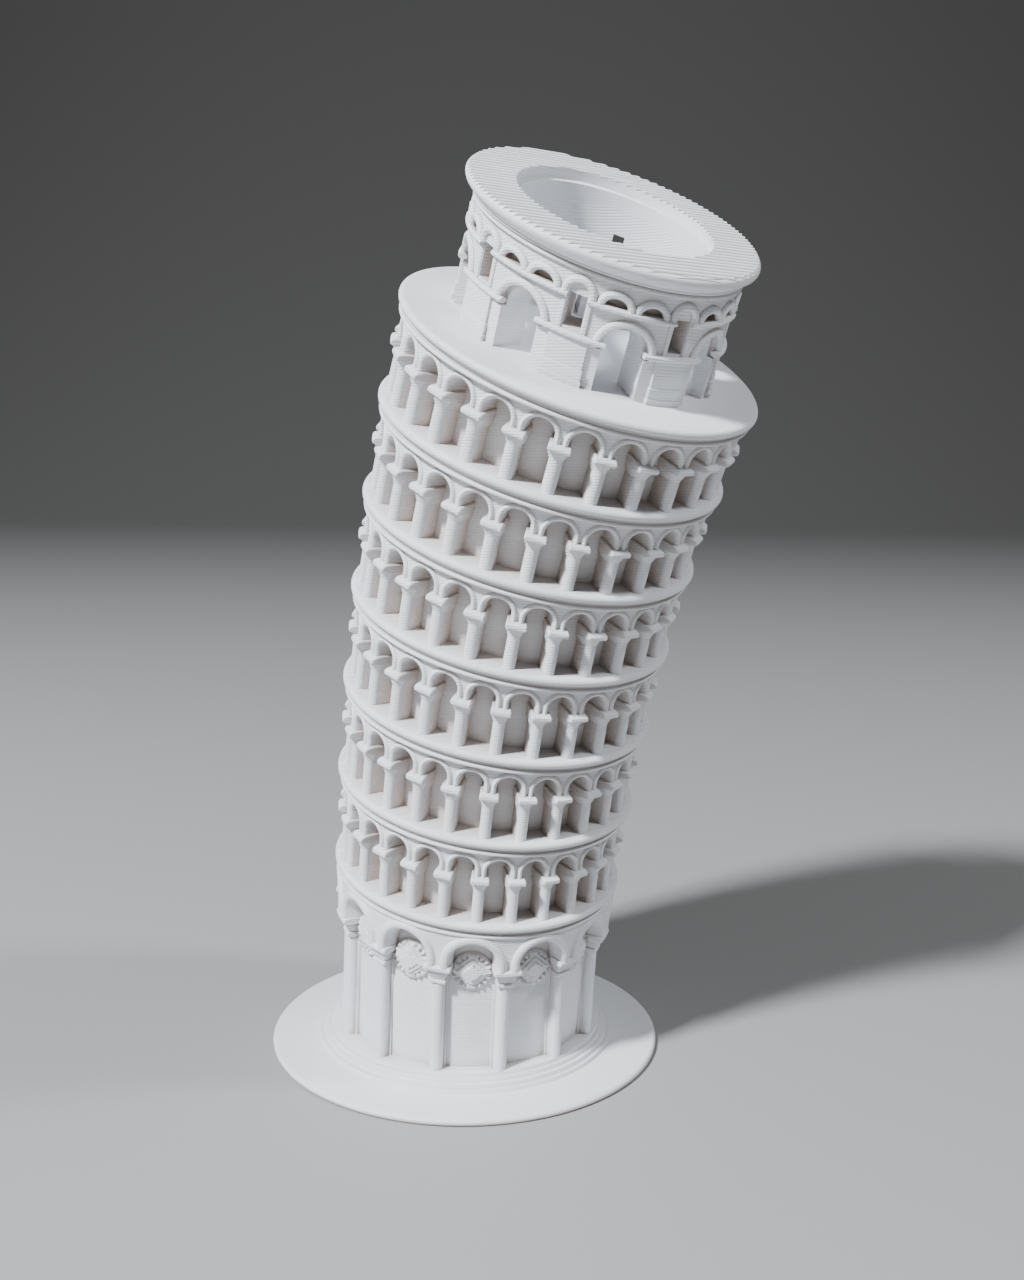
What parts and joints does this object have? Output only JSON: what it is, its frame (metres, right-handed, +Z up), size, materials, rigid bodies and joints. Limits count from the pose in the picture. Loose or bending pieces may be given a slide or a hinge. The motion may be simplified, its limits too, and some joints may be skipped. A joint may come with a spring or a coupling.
{
  "type": "miniature landmark model",
  "caption": "Desk miniature of a leaning round bell tower: disc base, blind-arched ground storey, stacked open galleries on columns, and a smaller arched belfry under a flat ring.",
  "frame": {"origin": "centre of the base disc's underside", "axes": "+Z up from the surface it stands on; the tower leans towards -Y and +X; -Y is the side the picture was taken from"},
  "size_m": [0.0563, 0.0647, 0.1087],
  "materials": {
    "white_print": "matte white printed plastic with fine level layer lines"
  },
  "bodies": {
    "root": {"base_plate": "white_print", "stepped_plinth": "white_print", "ground_drum": "white_print", "ground_arcade": "white_print", "cornice_1": "white_print", "cornice_2": "white_print", "cornice_3": "white_print", "cornice_4": "white_print", "cornice_5": "white_print", "cornice_6": "white_print", "cornice_7": "white_print", "gallery_1_drum": "white_print", "gallery_1_arcade": "white_print", "gallery_2_drum": "white_print", "gallery_2_arcade": "white_print", "gallery_3_drum": "white_print", "gallery_3_arcade": "white_print", "gallery_4_drum": "white_print", "gallery_4_arcade": "white_print", "gallery_5_drum": "white_print", "gallery_5_arcade": "white_print", "gallery_6_drum": "white_print", "gallery_6_arcade": "white_print", "belfry_wall": "white_print", "belfry_cornice": "white_print", "top_ring": "white_print"}
  },
  "joints": []
}
